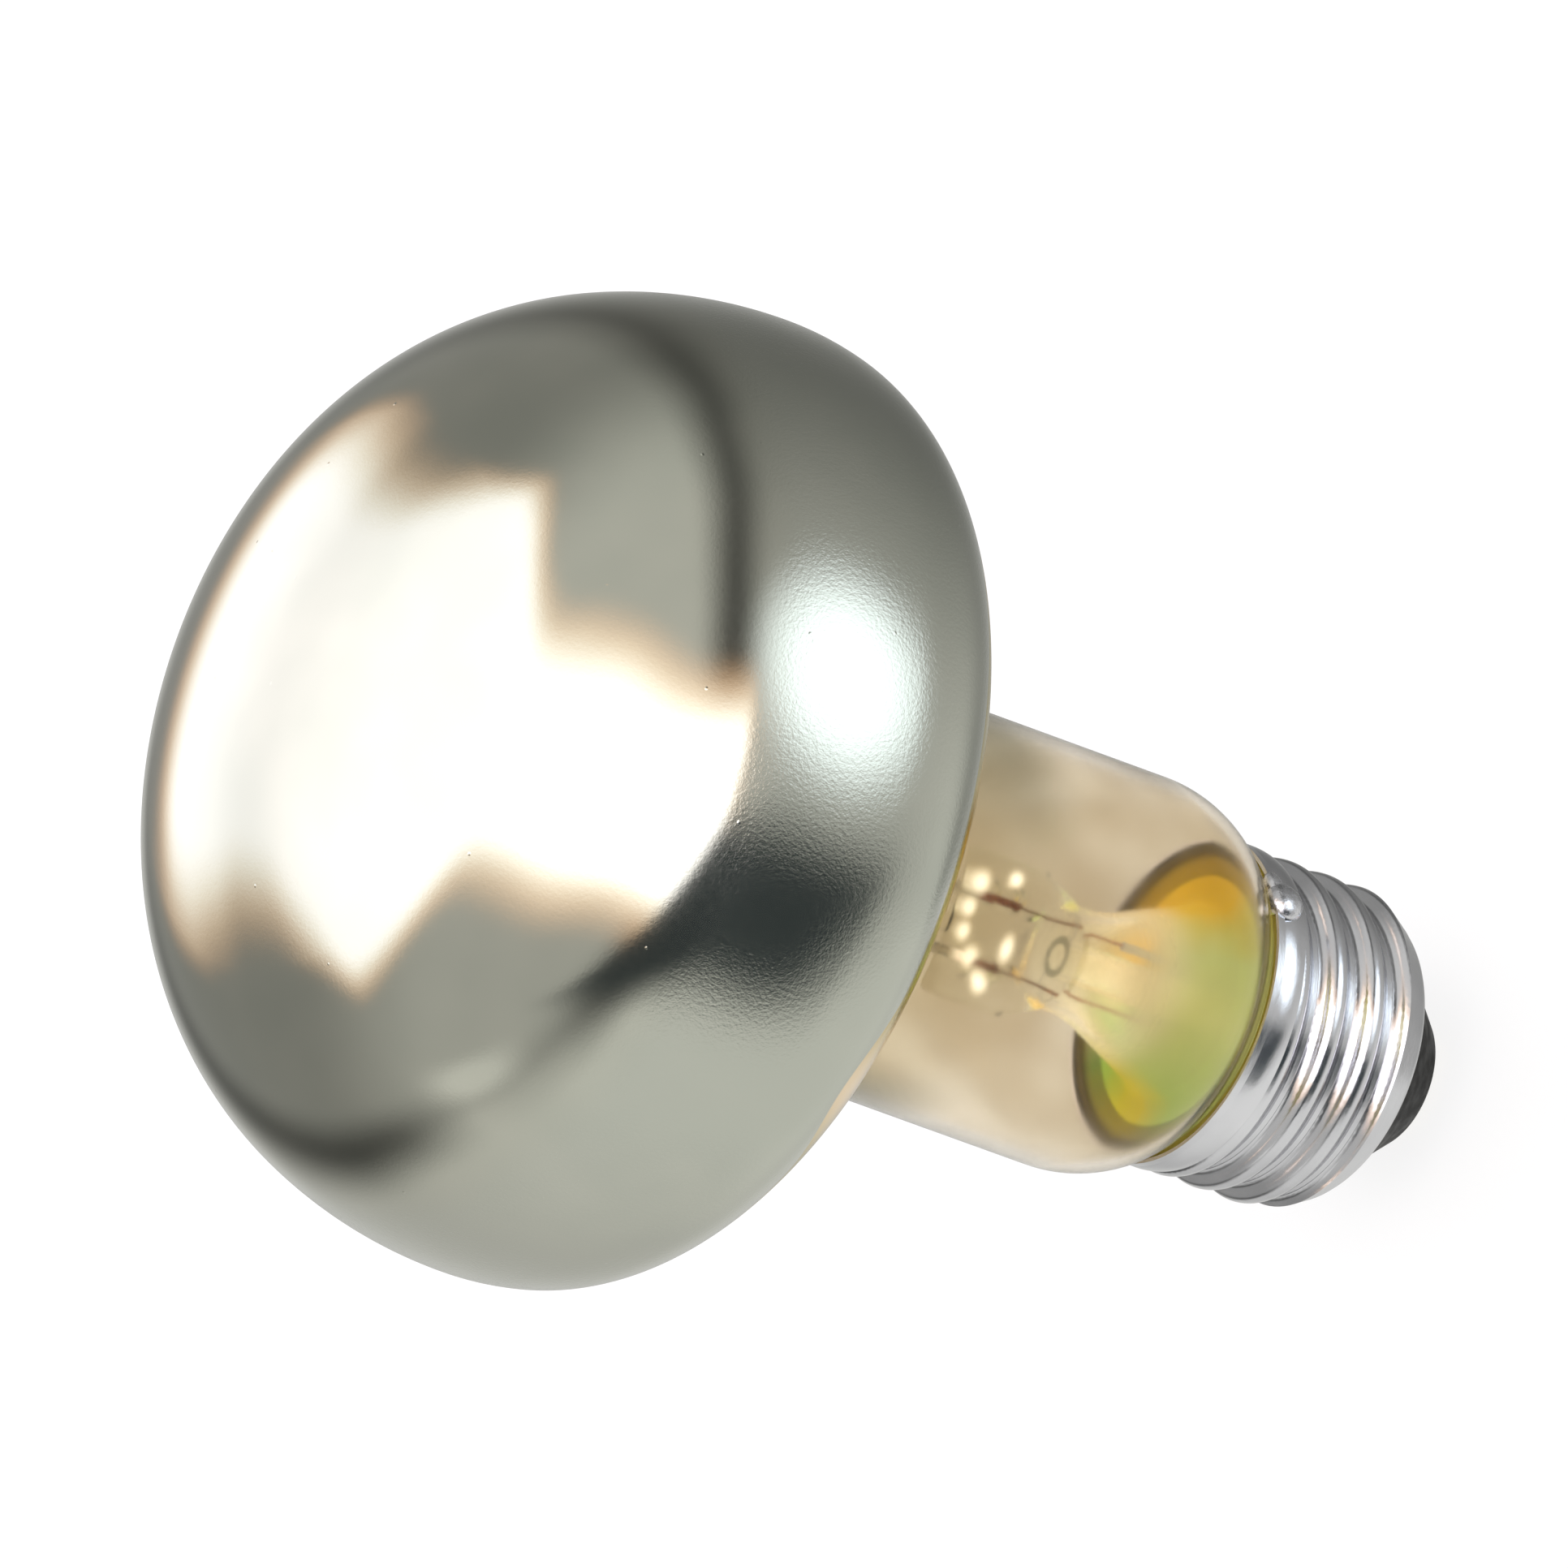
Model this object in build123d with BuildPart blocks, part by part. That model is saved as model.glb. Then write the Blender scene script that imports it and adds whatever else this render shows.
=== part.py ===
"""Reflector basking bulb with an Edison screw cap.

The bulb stands on its cap: Z is the lamp's axis, Z = 0 is the flat end of the centre contact,
and the domed face is at the top. All sizes are in millimetres. A blown glass envelope holds a
fused glass stem with its lead wires, filament supports and a coiled filament bent to an arc.
The screw cap is cemented on the neck and soldered to the leads at its rim and at its end.
"""

import os
from math import acos, cos, degrees, radians, sin, sqrt

from build123d import *

# Blown envelope
head_radius = 39.0
head_plane = 77.6
glass_wall = 0.8
side_radius = 35.2
side_turn = 20.4
corner_radius = 28.0
face_turn = 65.0
rear_side_radius = 19.2
rear_side_turn = 12.5
shoulder_radius = 10.0
back_turn = 62.0
neck_fillet = 5.0
neck_radius = 15.95
neck_end_height = 30.6
neck_end_radius = 10.5
neck_end_turn = 60.0

# Glass stem
seal_radius = 2.6
seal_turn = 158.0
tube_bore = 3.4
tube_wall = 0.8
flare_bend = 10.0
tube_top = 34.5
press_width = 12.0
press_depth = 3.8
press_start = 38.5
press_top = 45.2
press_edge = 1.2
dimple_radius = 1.5
dimple_depth = 0.6
dimple_rows = (39.4, 41.9)
dimple_spread = 3.0
arbor_radius = 1.1
button_radius = 2.1
button_height = 58.5
button_thickness = 2.6

# Exhaust tube
exhaust_radius = 1.6
exhaust_bore = 1.0
exhaust_tip = 13.0

# Wires and filament
inner_lead_radius = 0.4
outer_lead_radius = 0.13
lead_exit = 20.6
fuse_radius = 0.36
fuse_bottom = 25.4
fuse_length = 3.8
lead_spread = 2.5
weld_height = 39.6
lead_rise = 6.0
hook_shank = 6.0
lead_bend = 2.5
support_radius = 0.18
support_root = 0.6
support_reach = 1.5
support_lift = 0.4
support_shank = 5.0
support_bend = 1.6
support_angles = (15.0, 90.0, 165.0)
filament_radius = 0.45
filament_ring = 11.0
filament_height = 70.0
filament_opening = 70.0
filament_overhang = 1.2
hook_bite = 0.04
lead_hook_turn = 190.0
support_hook_turn = 300.0

# Screw cap
thread_pitch = 3.629
thread_crest = 13.15
thread_round = 1.025
thread_start = 3.95
thread_azimuth = 137.0
thread_end = 21.0
root_land = 0.03
ridge_sink = 0.25
fade_start = 0.5
fade_height = 3.0
shell_wall = 0.3
shell_bottom = 6.6
shell_lip = 9.6
shell_end_round = 2.0
band_radius = 13.25
band_bottom = 19.9
band_edge = 13.05
band_foot = 19.0
crease_height = 22.15
crease_rise = 0.1
rim_radius = 13.3
rim_height = 22.9

# Insulator and contact
insulator_top = 9.4
insulator_land = 10.5
insulator_dish = 3.6
insulator_step = 6.15
insulator_nose = 5.4
insulator_end = 1.3
insulator_round = 0.8
contact_radius = 4.6
contact_face = 0.9
contact_bore = 0.9
contact_collar = 1.4
contact_collar_top = 4.0
contact_edge = 0.25
solder_radius = 2.6
solder_flat = 1.5
solder_top = 2.3

# Cement and rim solder
cement_top = 22.6
cement_shelf = 19.6
cement_skirt = 11.6
cement_bottom = 17.4
cement_inner = 7.4
cement_lip = 19.8
solder_azimuth = -41.0
blob_height = 21.9
blob_size = (1.6, 1.7, 1.2)
tail_turn = 7.0
tail_height = 22.5
tail_size = (0.8, 1.5, 0.7)


def polar(centre, radius, angle):
    """Point at an angle, in degrees, on a circle in the section plane."""
    return (centre[0] + radius * cos(radians(angle)), centre[1] + radius * sin(radians(angle)))


# Centres of the envelope's arcs, each tangent to the next
side_centre = (head_radius - side_radius, head_plane)
corner_centre = polar(side_centre, side_radius - corner_radius, side_turn)
face_radius = corner_radius + corner_centre[0] / cos(radians(face_turn))
face_centre = polar(corner_centre, corner_radius - face_radius, face_turn)
rear_centre = (head_radius - rear_side_radius, head_plane)
shoulder_centre = polar(rear_centre, rear_side_radius - shoulder_radius, -rear_side_turn)
back_start = polar(shoulder_centre, shoulder_radius, -back_turn)
fillet_run = neck_radius + neck_fillet - back_start[0]
fillet_drop = (fillet_run * cos(radians(back_turn)) - neck_fillet) / sin(radians(back_turn))
fillet_centre = (neck_radius + neck_fillet, back_start[1] + fillet_drop)
neck_end_centre = (neck_radius - neck_end_radius, neck_end_height)

# The thread's root, where its crest and trough arcs run into each other
thread_root = thread_crest - 2 * thread_round + sqrt(4 * thread_round**2 - thread_pitch**2 / 4)

# Centres of the flare's arcs: the seal turns the wall inwards and up, the bend sets it upright
flare_lean = 180.0 - seal_turn
seal_centre = polar(neck_end_centre, neck_end_radius - seal_radius, -neck_end_turn)
seal_end = polar(seal_centre, seal_radius, -seal_turn)
bend_inset = flare_bend * (1 - cos(radians(flare_lean)))
flare_run = (seal_end[0] - tube_bore - bend_inset) / sin(radians(flare_lean))
bend_height = seal_end[1] + flare_run * cos(radians(flare_lean)) + flare_bend * sin(radians(flare_lean))
bend_centre = (tube_bore + flare_bend, bend_height)


def radial_plane(angle, height=0):
    """Plane through the lamp's axis: its X runs outwards at the angle, and its Y runs up."""
    turn = radians(angle)
    return Plane(
        origin=(0, 0, height),
        x_dir=(cos(turn), sin(turn), 0),
        z_dir=(sin(turn), -cos(turn), 0),
    )


def around(radius, angle, height):
    """Point at a radius and an angle about the axis, at a height."""
    return (radius * cos(radians(angle)), radius * sin(radians(angle)), height)


def glass_line(inset):
    """Draws the envelope's outline from the face's centre to the neck's end, moved inwards by inset."""
    CenterArc(face_centre, face_radius - inset, 90, face_turn - 90)
    CenterArc(corner_centre, corner_radius - inset, face_turn, side_turn - face_turn)
    CenterArc(side_centre, side_radius - inset, side_turn, -side_turn)
    CenterArc(rear_centre, rear_side_radius - inset, 0, -rear_side_turn)
    CenterArc(shoulder_centre, shoulder_radius - inset, -rear_side_turn, rear_side_turn - back_turn)
    Line(
        polar(shoulder_centre, shoulder_radius - inset, -back_turn),
        polar(fillet_centre, -neck_fillet - inset, -back_turn),
    )
    CenterArc(fillet_centre, neck_fillet + inset, 180 - back_turn, back_turn)
    Line((neck_radius - inset, fillet_centre[1]), (neck_radius - inset, neck_end_height))
    CenterArc(neck_end_centre, neck_end_radius - inset, 0, -neck_end_turn)


def glass_apex(inset):
    """Where the envelope's outline, moved inwards by inset, meets the axis."""
    return (0, face_centre[1] + face_radius - inset)


def build_wire(path, radius):
    """Sweeps a round wire along a path."""
    with BuildPart() as wire:
        with BuildSketch(Plane(origin=path @ 0, z_dir=path % 0)):
            Circle(radius)
        sweep(path=path)
    return wire


# Blown glass: domed face, bowl and neck in one wall, open at the neck's end
with BuildPart() as glass_envelope:
    with BuildSketch(Plane.XZ):
        with BuildLine():
            glass_line(0)
            glass_line(glass_wall)
            Line(glass_apex(0), glass_apex(glass_wall))
            Line(
                polar(neck_end_centre, neck_end_radius, -neck_end_turn),
                polar(neck_end_centre, neck_end_radius - glass_wall, -neck_end_turn),
            )
        make_face()
    revolve(axis=Axis.Z)
glass_envelope.part.label = "glass_envelope"

# The envelope's outer shape as a solid, to fit the cement and the rim solder against it
with BuildPart() as glass_blank:
    with BuildSketch(Plane.XZ):
        with BuildLine():
            glass_line(0)
            CenterArc(seal_centre, seal_radius, -neck_end_turn, neck_end_turn - seal_turn)
            Polyline(seal_end, (0, seal_end[1]), glass_apex(0))
        make_face()
    revolve(axis=Axis.Z)

# Filament: the coil's outer shape, bent to an open ring
end_reach = degrees(filament_overhang / filament_ring)
with BuildLine(Plane.XY.offset(filament_height)) as coil_path:
    CenterArc(
        (0, 0),
        filament_ring,
        filament_opening / 2 - 90 - end_reach,
        360 - filament_opening + 2 * end_reach,
    )
filament = build_wire(coil_path.wire(), filament_radius)
filament.part.label = "filament"

# Lead wires below the weld: one to the cap's rim, one to the centre contact
with BuildLine() as rim_path:
    FilletPolyline(
        (lead_spread, 0, weld_height),
        (lead_spread, 0, lead_exit),
        around(6.6, solder_azimuth, lead_exit - 1.2),
        around(11.6, solder_azimuth, 20.2),
        around(12.2, solder_azimuth, 21.4),
        around(12.79, solder_azimuth, 22.7),
        around(12.88, solder_azimuth, 22.99),
        around(13.35, solder_azimuth, 23.08),
        around(13.8, solder_azimuth, 22.8),
        radius=0.12,
    )
with BuildPart() as outer_lead_rim:
    add(build_wire(rim_path.wire(), outer_lead_radius).part)
    with BuildSketch(Plane.XY.offset(fuse_bottom)):
        with Locations((lead_spread, 0)):
            Circle(fuse_radius)
    extrude(amount=fuse_length)
outer_lead_rim.part.label = "outer_lead_rim"

with BuildLine() as centre_path:
    FilletPolyline(
        (-lead_spread, 0, weld_height),
        (-lead_spread, 0, 16.0),
        (0, 0, 9.0),
        (0, 0, 0.6),
        radius=3.0,
    )
outer_lead_centre = build_wire(centre_path.wire(), outer_lead_radius)
outer_lead_centre.part.label = "outer_lead_centre"


def build_hooked_wire(path, radius):
    """Sweeps a wire whose hook is seated on the filament."""
    with BuildPart() as wire:
        add(build_wire(path, radius).part)
        add(filament.part, mode=Mode.SUBTRACT)
    return wire


def build_inner_lead(side):
    """Stiff wire from the press to the filament, with a hook round the filament's end."""
    end_angle = side * filament_opening / 2 - 90
    hook_radius = filament_radius + inner_lead_radius - hook_bite
    with BuildLine() as path:
        FilletPolyline(
            (side * lead_spread, 0, weld_height),
            (side * lead_spread, 0, press_top + lead_rise),
            around(filament_ring + hook_radius, end_angle, filament_height - hook_shank),
            around(filament_ring + hook_radius, end_angle, filament_height),
            radius=lead_bend,
        )
        with BuildLine(radial_plane(end_angle)):
            CenterArc((filament_ring, filament_height), hook_radius, 0, lead_hook_turn)
    return build_hooked_wire(path.wire(), inner_lead_radius)


inner_lead_rim = build_inner_lead(1)
inner_lead_rim.part.label = "inner_lead_rim"
inner_lead_centre = build_inner_lead(-1)
inner_lead_centre.part.label = "inner_lead_centre"


def build_support(angle):
    """Thin wire from the arbor's button to a pigtail round the filament."""
    hook_radius = filament_radius + support_radius - hook_bite
    with BuildLine(radial_plane(angle)) as path:
        FilletPolyline(
            (support_root, button_height),
            (button_radius + support_reach, button_height + support_lift),
            (filament_ring + hook_radius, filament_height - support_shank),
            (filament_ring + hook_radius, filament_height),
            radius=support_bend,
        )
        CenterArc((filament_ring, filament_height), hook_radius, 0, support_hook_turn)
    return build_hooked_wire(path.wire(), support_radius)


supports = [build_support(angle) for angle in support_angles]
for number, support in enumerate(supports, 1):
    support.part.label = f"filament_support_{number}"

# Stem: flare fused to the neck, tube, and the press that grips the wires
with BuildPart() as glass_stem:
    with BuildSketch(Plane.XZ):
        with BuildLine():
            for inset in (0, tube_wall):
                CenterArc(seal_centre, seal_radius - inset, -neck_end_turn, neck_end_turn - seal_turn)
                Line(
                    polar(seal_centre, seal_radius - inset, -seal_turn),
                    polar(bend_centre, flare_bend - inset, -seal_turn),
                )
                CenterArc(bend_centre, flare_bend - inset, -seal_turn, -flare_lean)
                Line((tube_bore + inset, bend_height), (tube_bore + inset, tube_top))
            Line(
                polar(seal_centre, seal_radius, -neck_end_turn),
                polar(seal_centre, seal_radius - tube_wall, -neck_end_turn),
            )
            Line((tube_bore, tube_top), (tube_bore + tube_wall, tube_top))
        make_face()
    revolve(axis=Axis.Z)
    with BuildSketch(Plane.XY.offset(tube_top)):
        Circle(tube_bore + tube_wall)
    with BuildSketch(Plane.XY.offset(press_start)):
        RectangleRounded(press_width, press_depth, press_edge)
    loft()
    with BuildSketch(Plane.XY.offset(press_start)):
        RectangleRounded(press_width, press_depth, press_edge)
    extrude(amount=press_top - press_start)
    fillet(faces().sort_by(Axis.Z)[-1].edges(), press_edge)
    for height in dimple_rows:
        for side in (-1, 1):
            for front in (-1, 1):
                reach = press_depth / 2 - dimple_depth + dimple_radius
                with Locations((side * dimple_spread, front * reach, height)):
                    Sphere(dimple_radius, mode=Mode.SUBTRACT)
    for wire in (outer_lead_rim, outer_lead_centre, inner_lead_rim, inner_lead_centre):
        add(wire.part, mode=Mode.SUBTRACT)
glass_stem.part.label = "glass_stem"

# Arbor: glass rod on the press, flattened to a button that holds the supports
with BuildPart() as glass_arbor:
    with BuildSketch(Plane.XZ):
        with BuildLine():
            button_foot = button_height - button_thickness / 2
            button_head = button_height + button_thickness / 2
            Polyline(
                (arbor_radius, button_foot),
                (arbor_radius, press_top),
                (0, press_top),
                (0, button_head),
            )
            ThreePointArc((0, button_head), (button_radius, button_height), (arbor_radius, button_foot))
        make_face()
    revolve(axis=Axis.Z)
    for support in supports:
        add(support.part, mode=Mode.SUBTRACT)
glass_arbor.part.label = "glass_arbor"

# Exhaust tube: opens under the press and is sealed off inside the cap
with BuildPart() as exhaust_tube:
    with BuildSketch(Plane.XZ):
        with BuildLine():
            tip_round = exhaust_tip + exhaust_radius
            bore_round = tip_round + exhaust_bore
            Line((exhaust_bore, tube_top), (exhaust_radius, tube_top))
            Line((exhaust_radius, tube_top), (exhaust_radius, tip_round))
            CenterArc((0, tip_round), exhaust_radius, 0, -90)
            Line((0, exhaust_tip), (0, bore_round - exhaust_bore))
            CenterArc((0, bore_round), exhaust_bore, -90, 90)
            Line((exhaust_bore, bore_round), (exhaust_bore, tube_top))
        make_face()
    revolve(axis=Axis.Z)
exhaust_tube.part.label = "exhaust_tube"


def ridge_line(inset):
    """Draws the section of the rolled thread's ridge about its own height, moved inwards by inset."""
    crest_x = thread_crest - thread_round
    trough_x = thread_root + thread_round
    trough_z = thread_pitch / 2
    trough_round = thread_round + inset
    base_x = thread_root + root_land - inset
    flank_turn = degrees(acos((trough_x - crest_x) / (2 * thread_round)))
    base_turn = degrees(acos((trough_x - base_x) / trough_round))
    base_z = trough_z - trough_round * sin(radians(base_turn))
    CenterArc((crest_x, 0), thread_round - inset, -flank_turn, 2 * flank_turn)
    CenterArc((trough_x, trough_z), trough_round, 180 + flank_turn, base_turn - flank_turn)
    CenterArc((trough_x, -trough_z), trough_round, 180 - flank_turn, flank_turn - base_turn)
    Polyline(
        (base_x, base_z),
        (base_x - ridge_sink, base_z),
        (base_x - ridge_sink, -base_z),
        (base_x, -base_z),
    )


def shell_line(inset):
    """Draws the cap's section without its thread, from the rim to the axis, moved inwards by inset."""
    end_centre = (thread_root - shell_end_round, shell_bottom + shell_end_round)
    Polyline(
        (0, rim_height),
        (rim_radius - inset, rim_height),
        (rim_radius - inset, crease_height + crease_rise),
        (band_edge - inset, crease_height),
    )
    ThreePointArc(
        (band_edge - inset, crease_height),
        (band_radius - inset, (crease_height + band_bottom) / 2),
        (band_edge - inset, band_bottom),
    )
    Polyline(
        (band_edge - inset, band_bottom),
        (thread_root - inset, band_foot),
        (thread_root - inset, end_centre[1]),
    )
    CenterArc(end_centre, shell_end_round - inset, 0, -90)
    Polyline((end_centre[0], shell_bottom + inset), (0, shell_bottom + inset), (0, rim_height))


def build_ridge(inset):
    """Sweeps the thread's ridge, fading out at the shell's rounded end and under the plain band."""
    with BuildPart() as ridge:
        with BuildLine() as helix:
            Helix(
                pitch=thread_pitch,
                height=thread_end - thread_start,
                radius=thread_root,
                center=(0, 0, thread_start),
            )
        with BuildSketch(radial_plane(0, thread_start)):
            with BuildLine():
                ridge_line(inset)
            make_face()
        sweep(path=helix.wire(), is_frenet=True)
        with BuildSketch(Plane.XZ):
            with BuildLine():
                fade_bottom = shell_bottom + fade_start + inset
                Polyline(
                    (0, crease_height),
                    (band_edge - inset, crease_height),
                    (band_radius - inset, (crease_height + band_bottom) / 2),
                    (band_radius - inset, fade_bottom + fade_height),
                    (thread_root - fade_start - inset, fade_bottom),
                    (0, fade_bottom),
                    close=True,
                )
            make_face()
        revolve(axis=Axis.Z, mode=Mode.INTERSECT)
    return ridge


# The cap's outer shape as a solid, before it is hollowed
with BuildPart() as rolled_blank:
    with BuildSketch(Plane.XZ):
        with BuildLine():
            shell_line(0)
        make_face()
    revolve(axis=Axis.Z)
    add(build_ridge(0).part)

# The rolled sheet: threaded inside and out, with a plain band and a rim above
with BuildPart() as rolled_shell:
    add(rolled_blank.part)
    with BuildSketch(Plane.XZ):
        with BuildLine():
            shell_line(shell_wall)
        make_face()
    revolve(axis=Axis.Z, mode=Mode.SUBTRACT)
    add(build_ridge(shell_wall).part, mode=Mode.SUBTRACT)
    with BuildSketch(Plane.XY):
        Circle(shell_lip)
    extrude(amount=rim_height, mode=Mode.SUBTRACT)

# Cap shell: the rolled sheet, screwed round to where its thread starts
with BuildPart() as shell_blank:
    add(rolled_blank.part, rotation=(0, 0, thread_azimuth))
with BuildPart() as cap_shell:
    add(rolled_shell.part, rotation=(0, 0, thread_azimuth))
cap_shell.part.label = "cap_shell"

# Insulator: black glass cast in the shell's end, a cone outside and a dish inside
with BuildPart() as insulator:
    with BuildSketch(Plane.XZ):
        with BuildLine():
            bore = thread_root - shell_wall
            end_centre = (thread_root - shell_end_round, shell_bottom + shell_end_round)
            Polyline(
                (end_centre[0], shell_bottom + shell_wall),
                (shell_lip, shell_bottom + shell_wall),
                (shell_lip, insulator_step),
                (insulator_nose, insulator_end),
                (contact_collar, insulator_end),
                (contact_collar, insulator_dish),
                (contact_radius, insulator_dish),
                (insulator_land, insulator_top),
                (bore, insulator_top),
                (bore, end_centre[1]),
            )
            CenterArc(end_centre, shell_end_round - shell_wall, 0, -90)
        make_face()
        fillet(vertices().group_by(Axis.Y)[0].sort_by(Axis.X)[-1], insulator_round)
    revolve(axis=Axis.Z)
insulator.part.label = "insulator"

# Contact plate: brass disc on the insulator's nose, with a collar through it
with BuildPart() as contact_plate:
    with BuildSketch(Plane.XZ):
        with BuildLine():
            Polyline(
                (contact_bore, contact_face),
                (contact_radius, contact_face),
                (contact_radius, insulator_end),
                (contact_collar, insulator_end),
                (contact_collar, contact_collar_top),
                (contact_bore, contact_collar_top),
                close=True,
            )
        make_face()
        fillet(vertices().group_by(Axis.Y)[0].sort_by(Axis.X)[-1], contact_edge)
    revolve(axis=Axis.Z)
contact_plate.part.label = "contact_plate"

# Centre solder: flattened dome on the contact plate, run into its bore round the lead
with BuildPart() as centre_solder:
    with BuildSketch(Plane.XZ):
        with BuildLine():
            Line((0, solder_top), (0, 0))
            Line((0, 0), (solder_flat, 0))
            TangentArc((solder_flat, 0), (solder_radius, contact_face), tangent=(1, 0))
            Polyline(
                (solder_radius, contact_face),
                (contact_bore, contact_face),
                (contact_bore, solder_top),
                (0, solder_top),
            )
        make_face()
    revolve(axis=Axis.Z)
    add(outer_lead_centre.part, mode=Mode.SUBTRACT)
centre_solder.part.label = "centre_solder"

# Basing cement: ring between the neck's end and the cap's band
with BuildPart() as basing_cement:
    with BuildSketch(Plane.XZ):
        Polygon(
            (cement_inner, cement_lip),
            (cement_skirt, cement_bottom),
            (cement_skirt, cement_shelf),
            (rim_radius, cement_shelf),
            (rim_radius, cement_top),
            (cement_inner, cement_top),
            align=None,
        )
    revolve(axis=Axis.Z)
    with BuildSketch(Plane.XZ):
        with BuildLine():
            shell_line(shell_wall)
        make_face()
    revolve(axis=Axis.Z, mode=Mode.INTERSECT)
    add(glass_blank.part, mode=Mode.SUBTRACT)
    add(outer_lead_rim.part, mode=Mode.SUBTRACT)
basing_cement.part.label = "basing_cement"


def solder_drop(angle, height, size):
    """Flattened drop on the cap's band: size is its half height, half width and depth."""
    place = Plane(origin=around(band_edge, angle, height), x_dir=(0, 0, 1), z_dir=around(1, angle, 0))
    with BuildPart() as drop:
        Sphere(1)
        scale(by=size)
    return drop.part.moved(place.location)


# Rim solder: a drop over the cap's rim with a short tail along it, set round the lead's end
with BuildPart() as rim_solder:
    add(solder_drop(solder_azimuth, blob_height, blob_size))
    add(solder_drop(solder_azimuth + tail_turn, tail_height, tail_size))
    add(shell_blank.part, mode=Mode.SUBTRACT)
    add(glass_blank.part, mode=Mode.SUBTRACT)
    add(outer_lead_rim.part, mode=Mode.SUBTRACT)
rim_solder.part.label = "rim_solder"

os.makedirs("parts", exist_ok=True)
finished = [
    glass_envelope,
    outer_lead_rim,
    outer_lead_centre,
    inner_lead_rim,
    inner_lead_centre,
    *supports,
    filament,
    glass_stem,
    glass_arbor,
    exhaust_tube,
    cap_shell,
    insulator,
    contact_plate,
    centre_solder,
    basing_cement,
    rim_solder,
]
for piece in finished:
    export_step(piece.part, f"parts/{piece.part.label}.step")
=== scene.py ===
"""Looks of the reflector basking bulb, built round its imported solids. Lengths are in metres."""

import math

import bmesh
import bpy
from mathutils import Matrix, Vector


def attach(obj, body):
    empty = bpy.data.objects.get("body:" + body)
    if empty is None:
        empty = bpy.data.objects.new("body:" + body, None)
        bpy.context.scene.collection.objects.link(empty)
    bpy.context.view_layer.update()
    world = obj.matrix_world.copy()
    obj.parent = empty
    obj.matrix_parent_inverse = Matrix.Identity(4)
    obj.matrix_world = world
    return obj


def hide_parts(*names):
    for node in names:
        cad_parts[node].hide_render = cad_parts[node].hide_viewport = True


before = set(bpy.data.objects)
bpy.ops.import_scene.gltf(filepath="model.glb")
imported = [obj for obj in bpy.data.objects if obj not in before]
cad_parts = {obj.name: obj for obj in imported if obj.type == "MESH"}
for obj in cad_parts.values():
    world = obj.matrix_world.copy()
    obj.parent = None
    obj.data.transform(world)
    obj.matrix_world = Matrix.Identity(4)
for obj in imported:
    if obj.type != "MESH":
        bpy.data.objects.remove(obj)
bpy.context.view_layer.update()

MM = 0.001
DEGREES = 180 / math.pi

# The envelope's outline in millimetres and degrees, from the same values as the solids
HEAD_RADIUS = 39.0
HEAD_PLANE = 77.6
WALL = 0.8
HAIR = 0.015
SIDE_RADIUS, SIDE_TURN = 35.2, 20.4
CORNER_RADIUS, FACE_TURN = 28.0, 65.0
REAR_SIDE_RADIUS, REAR_SIDE_TURN = 19.2, 12.5
SHOULDER_RADIUS, BACK_TURN = 10.0, 62.0
NECK_FILLET, NECK_RADIUS = 5.0, 15.95
NECK_END_HEIGHT, NECK_END_RADIUS, NECK_END_TURN = 30.6, 10.5, 60.0
FILM_ZONE, GLASS_ZONE = 0, 1
TURNS = 240  # steps round the axis

# The film's gold edge: its height, and where round the axis it is wider
FILM_EDGE = 69.0
GOLD_TURN, GOLD_SPREAD, GOLD_RISE = -114.0, 15.0, 1.6

# Top of the cement that lies under the seal, and the fuse's sleeve on the wire to the rim
UNDER_SEAL = 22.4
FUSE = (25.4, 29.2)
COPPER = (0.50, 0.24, 0.15)

# Floor in metres; its glow and its diffuse colour add up to white, and a shadow dims the second
FLOOR_RADIUS, FLOOR_DROP = 0.34, 0.00005
FLOOR_GLOW = 0.84

WHITE = (1.0, 1.0, 1.0)
BLACK = (0.0, 0.0, 0.0)


def polar(centre, radius, angle):
    a = math.radians(angle)
    return (centre[0] + radius * math.cos(a), centre[1] + radius * math.sin(a))


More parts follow.
